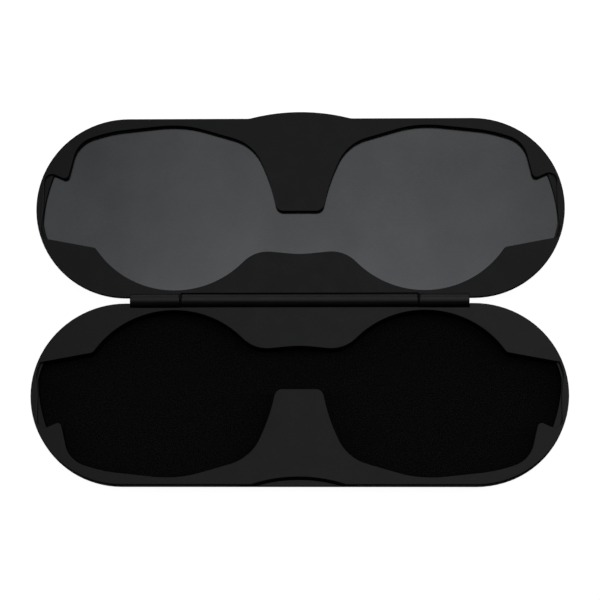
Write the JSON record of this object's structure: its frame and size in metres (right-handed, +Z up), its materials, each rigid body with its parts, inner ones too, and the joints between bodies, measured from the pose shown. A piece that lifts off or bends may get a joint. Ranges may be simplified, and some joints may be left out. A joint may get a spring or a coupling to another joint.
{
  "type": "eyeglasses case",
  "caption": "Slim hard case for folding reading glasses: two stadium-shaped halves on a barrel hinge, each with a glasses-shaped recess, with a thumb tab and magnetic closure.",
  "frame": {"origin": "middle of the flat underside of the base, where the case rests on a table", "axes": "+X along the hinge, +Y from the base towards the open lid, +Z up out of the base recess"},
  "size_m": [0.148, 0.1058, 0.0112],
  "materials": {
    "anodised_shell": "matte black anodised",
    "brushed_inlay": "grey anodised, fine brushed grain along the length",
    "soft_touch_plastic": "black soft-touch moulded plastic, satin",
    "flock": "short black flock",
    "bond_film": "thin black adhesive film",
    "hinge_metal": "satin black coated steel",
    "pin_steel": "ground stainless steel",
    "bush_plastic": "black acetal",
    "magnet_plating": "nickel plated",
    "screw_steel": "black oxide steel"
  },
  "bodies": {
    "base": {"base_shell": "anodised_shell", "base_insert": "soft_touch_plastic", "base_bond_film": "bond_film", "base_liner": "flock", "hinge_barrel": "hinge_metal", "base_leaf_screws": "screw_steel", "base_magnet_left": "magnet_plating", "base_magnet_right": "magnet_plating", "hinge_bush_left": "bush_plastic", "hinge_bush_right": "bush_plastic"},
    "lid": {"lid_shell": "anodised_shell", "lid_insert": "soft_touch_plastic", "lid_inlay": "brushed_inlay", "lid_bond_film": "bond_film", "lid_leaf_screws": "screw_steel", "lid_magnet_left": "magnet_plating", "lid_magnet_right": "magnet_plating", "lid_knuckle_left": "hinge_metal", "lid_knuckle_right": "hinge_metal", "hinge_pin_left": "pin_steel", "hinge_pin_right": "pin_steel", "hinge_cap_left": "hinge_metal", "hinge_cap_right": "hinge_metal"}
  },
  "joints": [
    {"name": "lid_hinge", "type": "hinge", "parent": "base", "child": "lid", "pos_m": [0, 0.0264, 0.0057], "axis": [1, 0, 0], "range_deg": [0, 174]}
  ]
}
